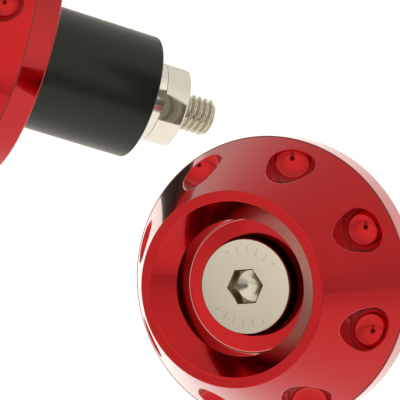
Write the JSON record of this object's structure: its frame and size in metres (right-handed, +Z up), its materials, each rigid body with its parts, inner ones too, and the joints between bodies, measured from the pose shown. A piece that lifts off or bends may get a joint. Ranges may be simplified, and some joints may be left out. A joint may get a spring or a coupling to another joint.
{
  "type": "pair of handlebar bar end plugs",
  "caption": "Pair of round, dished bar end weights with milled pockets, each held in the handlebar by a screw, a rubber plug and an expander nut.",
  "frame": {"origin": "on the table, under the middle of the pair's box", "axes": "+Z up from the table; +Y away from the viewer, so the right bar end lies at -Y and the left one at +Y; +X to the viewer's right"},
  "size_m": [0.0756, 0.1068, 0.0357],
  "materials": {
    "red_anodised": "bright red anodised, polished",
    "nickel_plate": "nickel plated, satin",
    "black_rubber": "moulded, semi-matt"
  },
  "bodies": {
    "right_bar_end": {"right_weight": "red_anodised", "right_rubber_plug": "black_rubber"},
    "right_screw": {"right_screw": "nickel_plate"},
    "right_nut": {"right_expander_nut": "nickel_plate"},
    "left_bar_end": {"left_weight": "red_anodised", "left_rubber_plug": "black_rubber"},
    "left_screw": {"left_screw": "nickel_plate"},
    "left_nut": {"left_expander_nut": "nickel_plate"}
  },
  "joints": [
    {"name": "right_screw_turn", "type": "hinge", "parent": "right_bar_end", "child": "right_screw", "pos_m": [0.01381, -0.04661, 0.02332], "axis": [0.412, 0.8228, -0.3916], "range_deg": [0, 720]},
    {"name": "right_nut_draw", "type": "slide", "parent": "right_bar_end", "child": "right_nut", "axis": [-0.412, -0.8228, 0.3916], "range_m": [0, 0.002], "deforming": ["right_rubber_plug"]},
    {"name": "left_screw_turn", "type": "hinge", "parent": "left_bar_end", "child": "left_screw", "pos_m": [-0.03279, 0.03238, 0.02332], "axis": [0.9062, 0.1598, -0.3916], "range_deg": [0, 720]},
    {"name": "left_nut_draw", "type": "slide", "parent": "left_bar_end", "child": "left_nut", "axis": [-0.9062, -0.1598, 0.3916], "range_m": [0, 0.002], "deforming": ["left_rubber_plug"]},
    {"name": "left_lift", "type": "slide", "parent": "right_bar_end", "child": "left_bar_end", "axis": [0, 0, 1], "range_m": [0, 0.06]}
  ],
  "couplings": [
    {"joint": "right_screw_turn", "follows": "right_nut_draw", "rad_per_m": 6283.2},
    {"joint": "left_screw_turn", "follows": "left_nut_draw", "rad_per_m": 6283.2}
  ]
}
